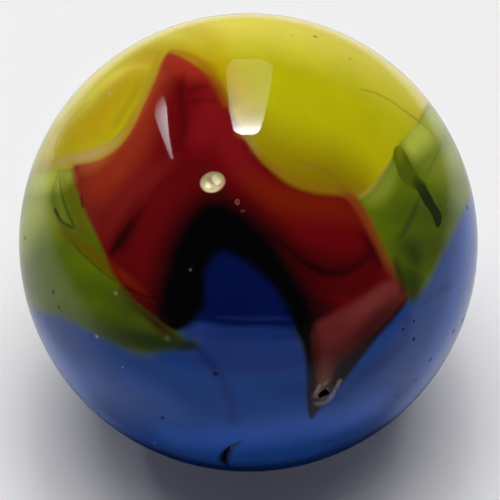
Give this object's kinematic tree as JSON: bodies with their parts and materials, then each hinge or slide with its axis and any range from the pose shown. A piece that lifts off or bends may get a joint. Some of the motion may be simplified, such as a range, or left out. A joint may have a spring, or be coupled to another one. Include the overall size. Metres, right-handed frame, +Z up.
{
  "type": "glass marble",
  "caption": "Solid glass ball with swirled fields of yellow, green, red and blue opaque glass, small open bubbles and a bent crease.",
  "frame": {"origin": "centre of the ball", "axes": "+Z up as the ball lies; the patterned side is turned up 50 degrees from level, toward -Y"},
  "size_m": [0.025, 0.025, 0.025],
  "materials": {
    "glass": "opaque coloured glass, fire-polished, in swirled fields of yellow, green, blue, red and black"
  },
  "bodies": {
    "root": {"marble": "glass"}
  },
  "joints": []
}
